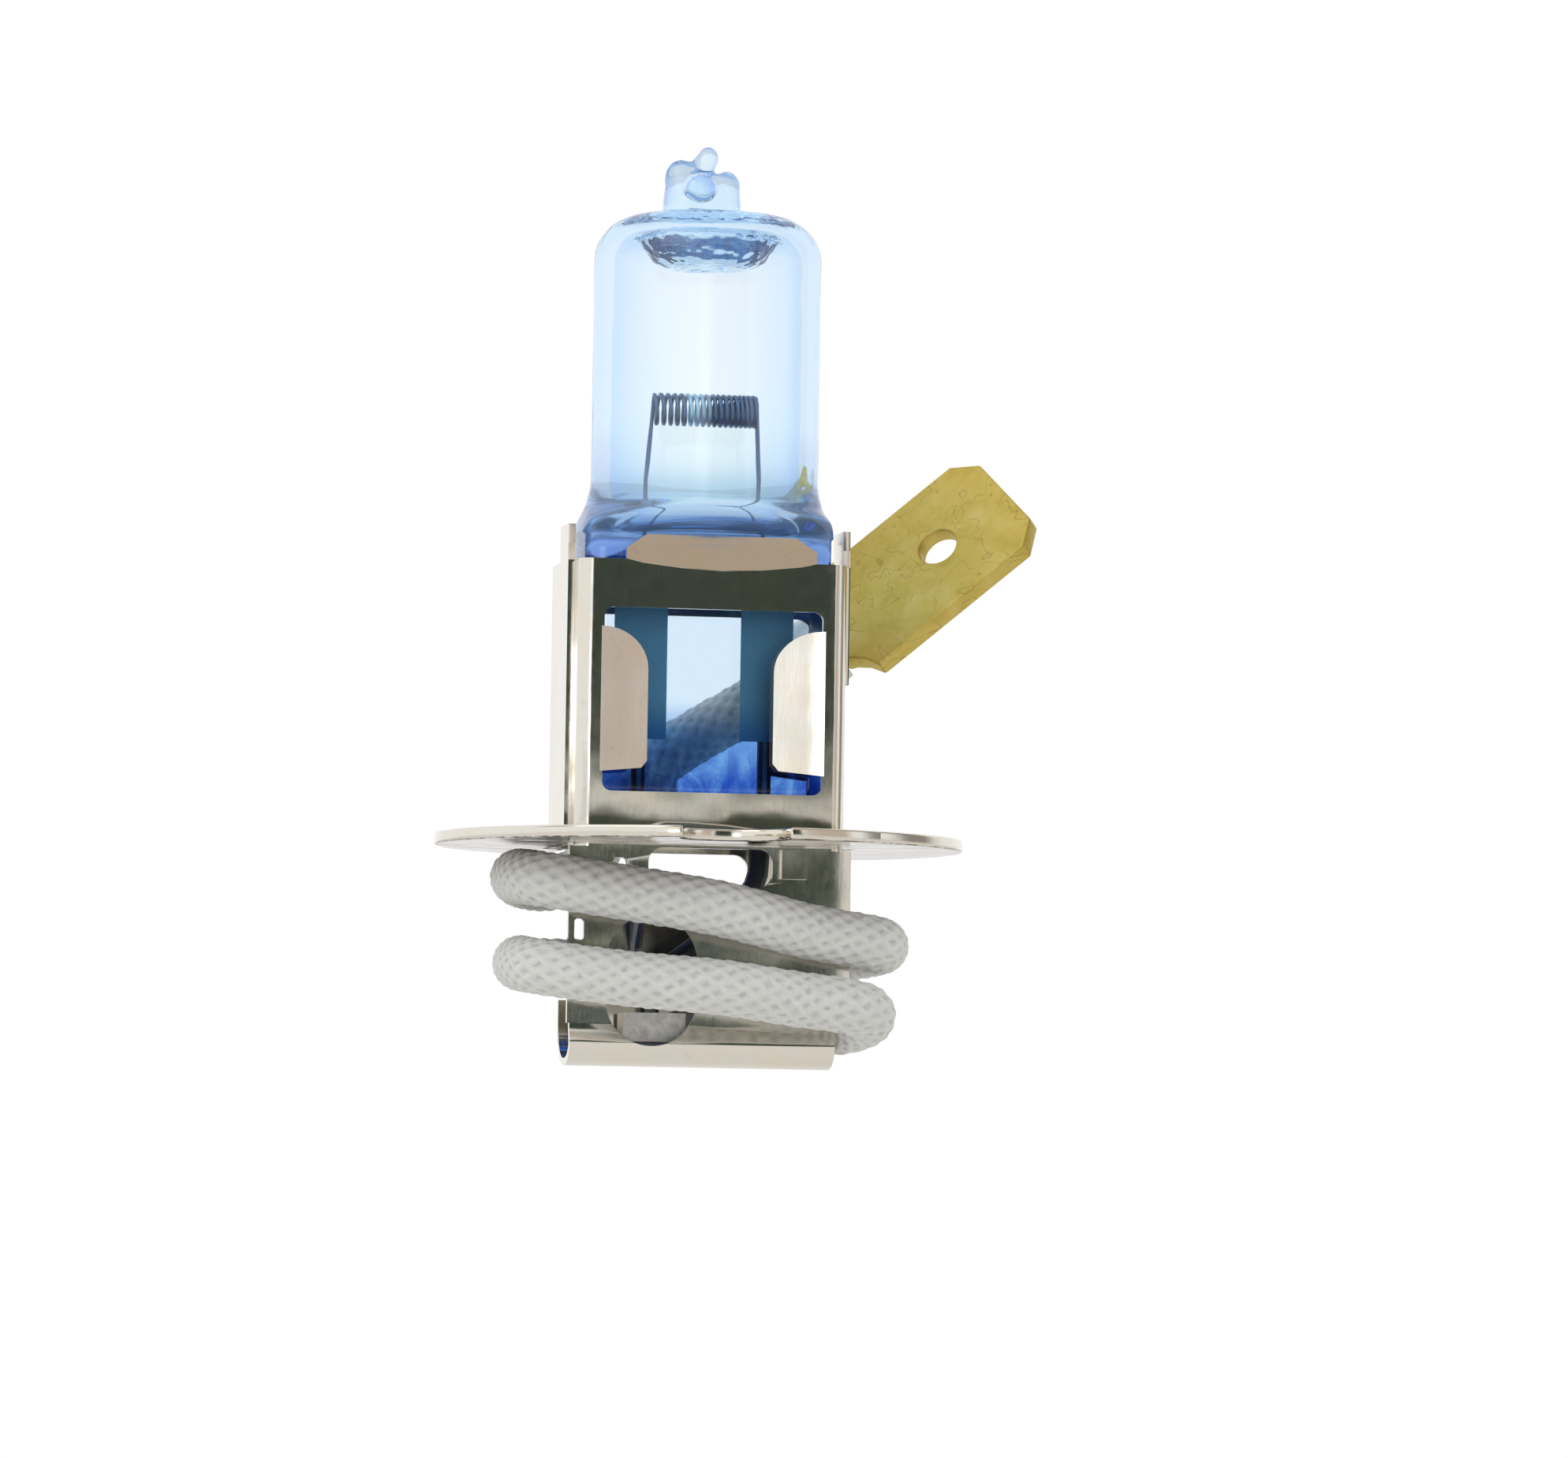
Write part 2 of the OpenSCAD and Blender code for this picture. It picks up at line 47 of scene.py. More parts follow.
def mm(value):
    """Millimetres to metres, for a number or a point."""
    if hasattr(value, "__len__"):
        return Vector([0.001 * x for x in value])
    return 0.001 * value


# ---------------------------------------------------------------- camera

CAMERA_AZIMUTH = -10.5      # degrees; the camera stands a little to the left of the cap's front
CAMERA_ELEVATION = -3.3     # and looks slightly up
CAMERA_ROLL = 0.9           # the lamp leans this far to the right
CAMERA_DISTANCE = mm(350)
CAMERA_NEAR = mm(10)        # nothing nearer than this is drawn
VIEW_WIDTH = mm(65.3)       # width of the view at the lamp
AIM_OFFSET = (mm(3.56), mm(4.5))   # the view's centre, right of and above the frame's origin
SENSOR = 36.0               # mm, the width of the film


def make_camera():
    azimuth, elevation = math.radians(CAMERA_AZIMUTH), math.radians(CAMERA_ELEVATION)
    backwards = Vector((math.sin(azimuth) * math.cos(elevation),
                        -math.cos(azimuth) * math.cos(elevation), math.sin(elevation)))
    turn = backwards.to_track_quat("Z", "Y").to_matrix()
    turn = turn @ Matrix.Rotation(math.radians(CAMERA_ROLL), 3, "Z")
    aim = turn @ Vector((AIM_OFFSET[0], AIM_OFFSET[1], 0))
    data = bpy.data.cameras.new("camera")
    data.sensor_width = SENSOR
    data.lens = SENSOR * CAMERA_DISTANCE / VIEW_WIDTH
    data.clip_start = CAMERA_NEAR
    camera = bpy.data.objects.new("camera", data)
    camera.matrix_world = Matrix.Translation(aim + CAMERA_DISTANCE * backwards) @ turn.to_4x4()
    bpy.context.scene.collection.objects.link(camera)
    bpy.context.scene.camera = camera


# ---------------------------------------------------------------- mesh helpers

def add_piece(name, mesh, surface, node):
    """Puts a mesh on the lamp: its material and the CAD node that it stands for."""
    piece = bpy.data.objects.new(name, mesh)
    bpy.context.scene.collection.objects.link(piece)
    piece.data.materials.clear()
    piece.data.materials.append(surface)
    for polygon in piece.data.polygons:
        polygon.use_smooth = True
    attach(piece, BODY)
    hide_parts(node)
    return piece


def settle(piece):
    """Applies every modifier of a piece."""
    graph = bpy.context.evaluated_depsgraph_get()
    mesh = bpy.data.meshes.new_from_object(piece.evaluated_get(graph))
    piece.modifiers.clear()
    piece.data = mesh
    return piece


def finished(work, name):
    """Turns a bmesh into a mesh and frees it."""
    mesh = bpy.data.meshes.new(name)
    work.to_mesh(mesh)
    work.free()
    return mesh


def blend(a, b, share):
    return a + (b - a) * share


def ease(share):
    """A smooth step from 0 to 1."""
    share = max(0.0, min(1.0, share))
    return share * share * (3 - 2 * share)


def shares(count):
    """Equal steps up to 1: 1/count, 2/count and so on."""
    return [i / count for i in range(1, count + 1)]


def line_length(points):
    return sum((b - a).length for a, b in zip(points, points[1:]))


def smooth_curve(points, steps):
    """A Catmull-Rom curve through the points, as part.scad draws it."""
    out, last = [], len(points) - 1
    for i in range(last):
        a, b = points[max(i - 1, 0)], points[i]
        c, d = points[i + 1], points[min(i + 2, last)]
        for k in range(steps):
            t = k / steps
            out.append(0.5 * (2 * b + (c - a) * t + (2 * a - 5 * b + 4 * c - d) * t ** 2
                              + (3 * b - a - 3 * c + d) * t ** 3))
    return out + [points[last]]


def evenly(points, step):
    """The same line with points at equal distances."""
    total = line_length(points)
    count = max(2, round(total / step))
    out, gone, i = [], 0.0, 0
    for k in range(count + 1):
        wanted = total * k / count
        while i < len(points) - 2 and gone + (points[i + 1] - points[i]).length < wanted:
            gone += (points[i + 1] - points[i]).length
            i += 1
        span = (points[i + 1] - points[i]).length
        out.append(points[i].lerp(points[i + 1], min(1.0, (wanted - gone) / span)))
    return out


def tube_mesh(name, points, radius_at, sides, side):
    """A closed tube along the points. Each ring starts on the given side, and radius_at takes
    the share of a turn and the distance along the tube. The UV map holds the same two, the
    distance in mm."""
    work = bmesh.new()
    layer = work.loops.layers.uv.new("UVMap")
    rings, gone, distances = [], 0.0, []
    for i, point in enumerate(points):
        ahead = points[min(i + 1, len(points) - 1)] - points[max(i - 1, 0)]
        ahead.normalize()
        side = (side - side.dot(ahead) * ahead).normalized()
        across = ahead.cross(side)
        gone += (point - points[i - 1]).length if i else 0.0
        distances.append(gone)
        circle = []
        for k in range(sides):
            angle = 2 * math.pi * k / sides
            away = math.cos(angle) * side + math.sin(angle) * across
            circle.append(work.verts.new(point + radius_at(k / sides, gone) * away))
        rings.append(circle)
    for i in range(len(rings) - 1):
        for k in range(sides):
            j = (k + 1) % sides
            face = work.faces.new((rings[i][k], rings[i][j], rings[i + 1][j], rings[i + 1][k]))
            corners = ((k, i), (k + 1, i), (k + 1, i + 1), (k, i + 1))
            for loop, (turn, row) in zip(face.loops, corners):
                loop[layer].uv = (turn / sides, 1000 * distances[row])
    work.faces.new(list(reversed(rings[0])))
    work.faces.new(rings[-1])
    return finished(work, name)


def add_rings(work, rings, inside_out=False):
    """Adds a closed shell to a bmesh. It is drawn over rings of points, from end to end."""
    made = [[work.verts.new(point) for point in points] for points in rings]
    faces = []
    for low, high in zip(made, made[1:]):
        for k in range(len(low)):
            j = (k + 1) % len(low)
            faces.append(work.faces.new((low[k], low[j], high[j], high[k])))
    faces.append(work.faces.new(list(reversed(made[0]))))
    faces.append(work.faces.new(made[-1]))
    if inside_out:
        bmesh.ops.reverse_faces(work, faces=faces)


def add_lump(work, x, y, z, half_x, half_y, half_z):
    """Adds an egg shape to a bmesh and returns its points."""
    place = Matrix.Translation(mm((x, y, z))) @ Matrix.Diagonal((*mm((half_x, half_y, half_z)), 1))
    return bmesh.ops.create_icosphere(work, subdivisions=3, radius=1.0, matrix=place)["verts"]


# ---------------------------------------------------------------- materials

def grey(level):
    return level, level, level


class Surface:
    """A node material in the making."""

    def __init__(self, name, **shader_values):
        self.material = bpy.data.materials.new(name)
        self.material.use_nodes = True
        self.nodes = self.material.node_tree.nodes
        self.links = self.material.node_tree.links
        self.shader = self.nodes["Principled BSDF"]
        for key, value in shader_values.items():
            self.shader.inputs[key.replace("_", " ")].default_value = value

    def node(self, kind, inputs=None, **settings):
        made = self.nodes.new("ShaderNode" + kind)
        for key, value in settings.items():
            setattr(made, key, value)
        for key, value in (inputs or {}).items():
            if isinstance(value, bpy.types.NodeSocket):
                self.links.new(value, made.inputs[key])
            else:
                made.inputs[key].default_value = value
        return made

    def place(self, scale=(1, 1, 1)):
        """Object coordinates in millimetres, stretched by scale."""
        where = self.node("TexCoord").outputs["Object"]
        size = [1000 * x for x in scale]
        return self.node("Mapping", {"Vector": where, "Scale": size}).outputs["Vector"]

    def axes(self, vector):
        """The parts of a vector, by the names X, Y and Z."""
        return self.node("SeparateXYZ", {"Vector": vector}).outputs

    def noise(self, vector, scale, detail, rough, distortion=0.0):
        made = self.node("TexNoise", {"Vector": vector, "Scale": scale, "Detail": detail,
                                      "Roughness": rough, "Distortion": distortion})
        return made.outputs["Fac"]

    def maths(self, operation, a, b=None, clamp=False):
        inputs = {0: a} if b is None else {0: a, 1: b}
        return self.node("Math", inputs, operation=operation, use_clamp=clamp).outputs[0]

    def plus(self, first, *others):
        for other in others:
            first = self.maths("ADD", first, other)
        return first

    def times(self, first, *others):
        for other in others:
            first = self.maths("MULTIPLY", first, other)
        return first

    def minus(self, a, b):
        return self.maths("SUBTRACT", a, b)

    def squared(self, value):
        return self.maths("POWER", value, 2.0)

    def above(self, value, limit):
        """1 where the value is over the limit, and 0 elsewhere."""
        return self.maths("GREATER_THAN", value, limit)

    def below(self, value, limit):
        return self.maths("LESS_THAN", value, limit)

    def ramp(self, fac, *stops):
        made = self.node("ValToRGB", {"Fac": fac})
        elements = made.color_ramp.elements
        while len(elements) < len(stops):
            elements.new(0.5)
        for element, (at, colour) in zip(elements, stops):
            element.position = at
            element.color = (*colour, 1)
        return made.outputs["Color"]

    def mask(self, fac, low, high, least=0.0, most=1.0):
        """Climbs from least to most while fac goes from low to high."""
        return self.ramp(fac, (low, grey(least)), (high, grey(most)))

    def spread(self, fac, low, high):
        """Maps 0..1 to low..high."""
        return self.node("MapRange", {"Value": fac, "To Min": low, "To Max": high}).outputs[0]

    def mix(self, fac, a, b):
        """Colour a where fac is 0, and colour b where it is 1."""
        made = self.node("Mix", data_type="RGBA")
        for socket, value in ((made.inputs[0], fac), (made.inputs[6], a), (made.inputs[7], b)):
            if isinstance(value, bpy.types.NodeSocket):
                self.links.new(value, socket)
            else:
                socket.default_value = (*value, 1)
        return made.outputs[2]

    def bump(self, height, strength=1.0, distance=1.0):
        """Distance is in mm for a height of 1."""
        made = self.node("Bump", {"Height": height, "Strength": strength,
                                  "Distance": mm(distance)})
        self.links.new(made.outputs["Normal"], self.shader.inputs["Normal"])

    def feed(self, socket, value):
        self.links.new(value, self.shader.inputs[socket])


def scratches(s, scale, stretch, width):
    """Thin random lines: 1 on a scratch and 0 off it."""
    field = s.noise(s.place(stretch), scale, detail=2.0, rough=0.6, distortion=0.4)
    off = s.maths("ABSOLUTE", s.minus(field, 0.5))
    return s.minus(1.0, s.maths("DIVIDE", off, width, clamp=True))


NICKEL = (0.74, 0.72, 0.66)
NICKEL_WARM = (0.7696, 0.7056, 0.594)
NICKEL_STAIN = (0.5772, 0.5616, 0.5148)
# Painted shade for the flange's downward faces: dark streaks, by the level of a stretched noise
UNDERSIDE_SHADE_STREAKS = ((0.38, (0.12, 0.09, 0.08)), (0.5, (0.4, 0.35, 0.31)), (0.62, (0.74, 0.7, 0.66)))
LOOKS_DOWN = -0.7                   # a face looks down when its normal's Z is below this
FLANGE_UNDER = -1.0                 # in mm: faces above this that look down are the flange's
DENTS, GRAIN = 0.09, 0.0016         # mm, the heights of the soft dents and of the fine grain
BOW_Z = (0.0, 12.0, 7.2)            # lowest, highest and middle height of the front's bow
BOW = 0.006                         # its depth 1 mm from the middle; it grows with the square
ROLL_FROM, ROLL_WIDTH = 3.9, 2.0    # mm; it rolls away to the right from here, over this width
ROLL = 0.06                         # and is this deep after the first mm
SKIRT_LEAN = 0.02                   # slope of the panel below the flange


def nickel():
    """Bright nickel plate on rolled sheet: warm, gently dented, with faint grain and stains."""
    s = Surface("nickel_plate", Metallic=1.0)
    at = s.axes(s.place())
    cloud = s.noise(s.place(), scale=0.5, detail=4.0, rough=0.6)
    stain = s.noise(s.place(), scale=1.6, detail=5.0, rough=0.65, distortion=0.6)
    colour = s.mix(s.mask(cloud, 0.35, 0.7), NICKEL, NICKEL_WARM)
    colour = s.mix(s.mask(stain, 0.58, 0.8, most=0.6), colour, NICKEL_STAIN)
    # the flange's downward faces get painted shade: dark streaks that run across them
    normal = s.axes(s.node("NewGeometry").outputs["True Normal"])
    underside = s.times(s.below(normal["Z"], LOOKS_DOWN), s.above(at["Z"], FLANGE_UNDER))
    shade_streaks = s.noise(s.place((0.35, 3.2, 1)), scale=1.0, detail=4.0, rough=0.65, distortion=0.3)
    s.feed("Base Color", s.mix(underside, colour, s.ramp(shade_streaks, *UNDERSIDE_SHADE_STREAKS)))
    grain = s.noise(s.place((1, 1, 0.15)), scale=7.0, detail=3.0, rough=0.6)
    line = scratches(s, scale=1.2, stretch=(1, 1, 0.3), width=0.003)
    s.feed("Roughness", s.plus(s.spread(grain, 0.07, 0.15), s.times(line, 0.05),
                               s.spread(stain, -0.03, 0.08)))
    # the bump's height is in mm: soft dents, fine grain, and the bow that pressing gave the front
    dents = s.noise(s.place(), scale=0.33, detail=1.0, rough=0.4)
    height = s.plus(s.times(dents, DENTS), s.times(grain, GRAIN))
    up = s.node("Clamp", {"Value": at["Z"], "Min": BOW_Z[0], "Max": BOW_Z[1]}).outputs[0]
    bow = s.squared(s.minus(up, BOW_Z[2]))
    roll = s.maths("MAXIMUM", s.minus(at["X"], ROLL_FROM), 0.0)
    roll = s.squared(s.maths("MINIMUM", roll, ROLL_WIDTH))
    sunk = s.plus(s.times(bow, BOW), s.times(roll, ROLL))
    skirt = s.times(s.maths("MINIMUM", at["Z"], 0.0), SKIRT_LEAN)
    s.bump(s.plus(s.minus(height, sunk), skirt))
    return s.material


def cut_edge():
    """Sheared edge of the plated strip: coarse, dull and beige."""
    s = Surface("cut_edge", Metallic=1.0)
    tear = s.noise(s.place(), scale=5.0, detail=4.0, rough=0.7)
    s.feed("Base Color", s.ramp(tear, (0.35, (0.38, 0.33, 0.26)), (0.6, (0.74, 0.69, 0.58))))
    s.feed("Roughness", s.spread(tear, 0.3, 0.55))
    s.bump(tear, strength=0.8, distance=0.06)
    return s.material


BRASS = ((0.3, (0.5, 0.38, 0.08)), (0.5, (0.6, 0.47, 0.12)), (0.75, (0.68, 0.57, 0.2)))
BRASS_SPOT = (0.27, 0.21, 0.07)
BRASS_SCUFF = (0.3, 0.24, 0.08)


def brass():
    """Stamped brass: dull cloudy yellow with scuffs and dark spots."""
    s = Surface("brass", Metallic=1.0)
    cloud = s.noise(s.place(), scale=0.6, detail=5.0, rough=0.6, distortion=0.3)
    spots = s.noise(s.place(), scale=3.5, detail=3.0, rough=0.7)
    fine = s.noise(s.place(), scale=14.0, detail=3.0, rough=0.7)
    scuff = scratches(s, scale=0.5, stretch=(1, 1, 1), width=0.006)
    colour = s.mix(s.mask(spots, 0.64, 0.72, most=0.55), s.ramp(cloud, *BRASS), BRASS_SPOT)
    s.feed("Base Color", s.mix(s.times(scuff, 0.55), colour, BRASS_SCUFF))
    s.feed("Roughness", s.plus(s.spread(cloud, 0.4, 0.55), s.spread(fine, -0.05, 0.07)))
    height = s.plus(s.times(cloud, 0.8), s.times(fine, 0.06))
    s.bump(s.minus(height, s.times(scuff, 0.3)), strength=0.5, distance=0.08)
    return s.material


# Tint of the blue coat at heights in mm above the flange: it is heavy on the foot of the press
# seal and where the seal opens into the tube, and thin elsewhere
COAT = ((0.0, (0.015, 0.05, 0.36)), (2.4, (0.02, 0.08, 0.46)), (4.2, (0.2, 0.4, 0.78)),
        (5.6, (0.96, 0.98, 1.0)), (10.2, (0.96, 0.98, 1.0)), (11.6, (0.25, 0.42, 1.0)),
        (12.7, (0.38, 0.62, 1.0)), (13.6, (0.72, 0.9, 1.0)), (15.5, (0.93, 0.99, 1.0)),
        (18.5, (0.98, 1.0, 1.0)), (24.0, (0.98, 0.99, 1.0)), (25.2, (0.86, 0.94, 1.0)),
        (26.2, (0.8, 0.92, 1.0)), (30.0, (0.8, 0.92, 1.0)))
COAT_TOP = COAT[-1][0]
BODY_TINT, BODY_DENSITY = (0.1, 0.62, 0.98, 1), 90.0    # the glass itself; density per metre
FOOT_TOP = 4.6                      # mm; the coat is mottled below here
BLOTS, BLOT_BLUE = 0.55, (0.3, 0.6, 0.95)
EDGE_BLEND, EDGE_BLUE = 0.3, (0.42, 0.68, 1.0)          # glass seen edge on is bluer
FLARE_Z, FLARE_FADE = (11.5, 17.0), 0.7                 # most of all at the flare, in mm
FLARE_BLUE = (0.3, 0.46, 1.0)
TIP_Z, TIP_BLUE = 26.3, (0.2, 0.3, 0.85)                # and at the tip, from here up
TIP_ROUGH = 0.06                    # the tip is rougher than the rest by this much
NUB_Z, NUB_REACH = (23.4, 25.3), 3.2                    # where the nub inside the dome is, in mm
NUB_EDGE = 0.15                     # share of the edge tint that the nub keeps
NUB_LUMPS, RIPPLE = 0.45, 0.012     # mm, the unevenness of the nub and of all the glass
FLARE_CLOUDY, NUB_CLOUDY = 0.35, 0.03                   # how far they are from clear
ROOT_FADE, ROOT_GAIN = 3.0, 1.4     # the cloud in the flare gathers at its root


def blue_glass():
    """Hard glass, lightly tinted all through, under a blue coat."""
    s = Surface("blue_glass", IOR=1.48)
    at = s.axes(s.place())
    height = s.node("MapRange", {"Value": at["Z"], "From Max": COAT_TOP}).outputs[0]
    colour = s.ramp(height, *((z / COAT_TOP, tint) for z, tint in COAT))
    blot = s.noise(s.place((1, 1, 0.6)), scale=0.9, detail=4.0, rough=0.65, distortion=1.2)
    blot = s.ramp(blot, (0.4, grey(0)), (0.5, grey(0.25)), (0.62, grey(1)))
    foot = s.times(s.below(at["Z"], FOOT_TOP), BLOTS)
    colour = s.mix(s.times(blot, foot), colour, BLOT_BLUE)
    nub = s.below(s.plus(s.squared(at["X"]), s.squared(at["Y"])), NUB_REACH ** 2)
    nub = s.times(nub, s.above(at["Z"], NUB_Z[0]), s.below(at["Z"], NUB_Z[1]))
    edge = s.node("LayerWeight", {"Blend": EDGE_BLEND}).outputs["Facing"]
    edge = s.times(edge, s.spread(nub, 1.0, NUB_EDGE))
    colour = s.mix(edge, colour, EDGE_BLUE)
    flare = s.node("MapRange", {"Value": at["Z"], "From Min": FLARE_Z[0], "From Max": FLARE_Z[1],
                                "To Min": 1.0, "To Max": 0.0}).outputs[0]
    flare = s.times(s.maths("POWER", flare, FLARE_FADE), s.above(at["Z"], FLARE_Z[0]))
    colour = s.mix(s.times(edge, flare), colour, FLARE_BLUE)
    tip = s.above(at["Z"], TIP_Z)
    s.feed("Base Color", s.mix(s.times(edge, tip), colour, TIP_BLUE))
    root = s.maths("MULTIPLY", s.maths("POWER", flare, ROOT_FADE), ROOT_GAIN, clamp=True)
    cloudy = s.maths("MAXIMUM", s.times(root, FLARE_CLOUDY), s.times(nub, NUB_CLOUDY))
    s.feed("Transmission Weight", s.minus(1.0, cloudy))
    ripple = s.noise(s.place((1, 1, 0.25)), scale=0.8, detail=2.0, rough=0.5)
    s.feed("Roughness", s.plus(s.spread(ripple, 0.0, 0.02), s.times(tip, TIP_ROUGH)))
    lumps = s.times(s.noise(s.place(), scale=0.9, detail=2.0, rough=0.5), NUB_LUMPS)
    s.bump(s.plus(s.times(ripple, RIPPLE), s.times(lumps, nub)))
    body = s.node("VolumeAbsorption", {"Color": BODY_TINT, "Density": BODY_DENSITY})
    s.links.new(body.outputs[0], s.nodes["Material Output"].inputs["Volume"])
    return s.material


# A lighter tone painted on some turns, in place of a reflection that the lights don't give:
# shares of the coil's length, with how much of that tone is there
GLEAM = ((0.29, 0), (0.33, 1), (0.44, 0.9), (0.48, 0.3), (0.52, 0.5), (0.57, 0))


def wire_metal(name, colour, rough, gleam=None):
    """Drawn wire: dark, with a grain stretched along Z. A gleam is painted on its middle turns."""
    s = Surface(name, Metallic=1.0)
    grain = s.noise(s.place((8, 8, 2)), scale=6.0, detail=3.0, rough=0.6)
    tone = s.ramp(grain, (0.3, tuple(0.7 * x for x in colour)), (0.7, colour))
    if gleam is not None:
        share = s.node("MapRange", {"Value": s.axes(s.place())["X"], "From Min": -COIL_LENGTH / 2,
                                    "From Max": COIL_LENGTH / 2}).outputs[0]
        tone = s.mix(s.ramp(share, *((at, grey(level)) for at, level in GLEAM)), tone, gleam)
    s.feed("Base Color", tone)
    s.feed("Roughness", s.spread(grain, rough - 0.08, rough + 0.12))
    s.bump(grain, strength=0.2, distance=0.01)
    return s.material


def tin_plate():
    """Dull tin on strip, slightly mottled."""
    s = Surface("tin_plate", Metallic=1.0)
    mottle = s.noise(s.place(), scale=2.2, detail=5.0, rough=0.65, distortion=0.4)
    s.feed("Base Color", s.ramp(mottle, (0.3, (0.52, 0.51, 0.5)), (0.7, (0.76, 0.75, 0.72))))
    s.feed("Roughness", s.spread(mottle, 0.28, 0.5))
    s.bump(mottle, strength=0.3, distance=0.05)
    return s.material


BRAID_STRANDS = 11          # strands wound each way round the sleeve
BRAID_PITCH = 10.0          # mm of sleeve in which a strand goes once round
BRAID_STRAY = 0.35          # how far a strand strays, in strands
BRAID_BIAS = 1.3            # the strands of one way look this much narrower
# Strand tone from the middle of a strand out to the gaps, where it darkens to painted shade
BRAID_AND_GAP_SHADE = ((0.08, (0.7, 0.7, 0.67)), (0.26, (0.57, 0.575, 0.56)), (0.45, (0.34, 0.355, 0.36)))
BRAID_WORN = (0.6, 0.605, 0.58)
BRAID_DULL = (0.58, 0.58, 0.56)
BRAID_FIBRE = (0.74, 0.74, 0.72)


def braid_material():
    """Off-white glass fibre, with painted shade in the gaps between strands and fine fibres all
    over.
    """
    s = Surface("glass_fibre_braid", Sheen_Weight=0.1, Specular_IOR_Level=0.3)
    uv = s.axes(s.node("TexCoord").outputs["UV"])
    stray = s.noise(s.place(), scale=1.6, detail=2.0, rough=0.5)
    turn = s.plus(s.times(uv["X"], BRAID_STRANDS), s.spread(stray, -BRAID_STRAY, BRAID_STRAY))
    rise = s.times(uv["Y"], BRAID_STRANDS / BRAID_PITCH)
    off = []
    for way in ("ADD", "SUBTRACT"):
        lane = s.maths("FRACT", s.maths(way, turn, rise))
        off.append(s.maths("ABSOLUTE", s.minus(lane, 0.5)))
    deep = s.maths("MINIMUM", off[0], s.times(off[1], BRAID_BIAS))
    cloud = s.noise(s.place(), scale=0.8, detail=4.0, rough=0.6)
    fibre = s.noise(s.place(), scale=9.0, detail=4.0, rough=0.7)
    worn = s.noise(s.place(), scale=2.4, detail=3.0, rough=0.6)
    worn = s.mask(worn, 0.38, 0.62, least=0.1, most=0.75)
    # painted shade: grey where the gaps between strands lie, over the gaps that the mesh sinks too
    colour = s.mix(worn, s.ramp(deep, *BRAID_AND_GAP_SHADE), BRAID_WORN)
    colour = s.mix(s.spread(cloud, -0.15, 0.5), colour, BRAID_DULL)
    s.feed("Base Color", s.mix(s.spread(fibre, -0.1, 0.4), colour, BRAID_FIBRE))
    s.feed("Roughness", s.spread(fibre, 0.7, 0.95))
    s.bump(fibre, strength=0.6, distance=0.05)
    return s.material


def sleeve_material():
    """Varnished dark tube with a faint weave."""
    s = Surface("dark_sleeve")
    weave = s.noise(s.place(), scale=7.0, detail=3.0, rough=0.6)
    s.feed("Base Color", s.ramp(weave, (0.3, (0.006, 0.007, 0.012)), (0.7, (0.02, 0.024, 0.034))))
    s.feed("Roughness", s.spread(weave, 0.3, 0.5))
    s.bump(weave, strength=0.4, distance=0.03)
    return s.material


def copper_strands():
    """Bare twisted strands, tinned."""
    s = Surface("copper_strands", Metallic=1.0)
    twist = s.noise(s.place((1, 6, 6)), scale=3.0, detail=2.0, rough=0.5)
    s.feed("Base Color", s.ramp(twist, (0.3, (0.5, 0.33, 0.22)), (0.7, (0.78, 0.68, 0.58))))
    s.feed("Roughness", s.spread(twist, 0.3, 0.5))
    s.bump(twist, strength=0.5, distance=0.05)
    return s.material


# ---------------------------------------------------------------- lead

LEAD_DIAMETER = mm(2.3)
# The middle line from the clamp to the ferrule, with the same points as in
# part.scad: out of the clamp, nearly twice round the cap, and up behind it past the flange
LEAD_ROUTE = [mm(p) for p in (
    (0.4, -1.4, -7.9), (2.6, -1.4, -7.9), (4.5, -1.4, -7.9), (6, -1.9, -7.8),
    (6.6, -3.2, -7.5), (6.3, -4.4, -7.2), (5.1, -5.3, -7), (3.2, -5.6, -6.8),
    (0, -6, -6.4), (-3.7, -5.2, -6.1), (-6.8, -3.8, -5.7), (-7.4, 0, -5.4),
    (-6.4, 3, -5.4), (-3.7, 5.2, -5.3), (0, 6, -5.1), (3.7, 5.2, -4.9),
    (6.4, 3, -4.7), (7.5, 0, -4.5), (6.8, -3.8, -4.4), (3.7, -5.2, -4),
    (0, -6, -3.2), (-3.7, -5.2, -2.6), (-6.8, -3.8, -2.1), (-7.5, 0, -1.8),
    (-7, 2.4, -1.9), (-5.6, 4.8, -1.9), (-3.9, 6.4, -1.3), (-3, 7, 0.2),
    (-2.2, 7.2, 1.9), (-0.8, 7.1, 3.4), (0.9, 6.6, 4.6), (2.7, 5.8, 5.7),
    (4.4, 5.1, 6.9), (5.3, 4.9, 7.7))]
LEAD_STEP = mm(0.1)
LEAD_SIDES = 72
CURVE_STEPS = 24
BRAID_DEPTH = mm(0.13)
BRAID_CROWN = 0.9           # a strand this high reaches the lead's full radius
STRAND_ROUND = 0.62         # share of a strand's height that is its own round shape
STRAND_WAVE = 0.38          # and the share that comes from going over and under


def braid_radius(turn, distance):
    """Height of the woven strands: two sets cross, each going over and under the other."""
    rise = 1000 * distance / BRAID_PITCH
    a, b = BRAID_STRANDS * (turn + rise), BRAID_STRANDS * (turn - rise)
    heights = []
    for this, other, sign in ((a, b, 1), (b, a, -1)):
        lane = math.floor(this)
        across = this - lane - 0.5
        wave = sign * math.cos(math.pi * (other - 0.5 + lane))
        heights.append(STRAND_ROUND * (1 - (2 * across) ** 2) + STRAND_WAVE * wave)
    return LEAD_DIAMETER / 2 - BRAID_DEPTH * (BRAID_CROWN - max(heights))


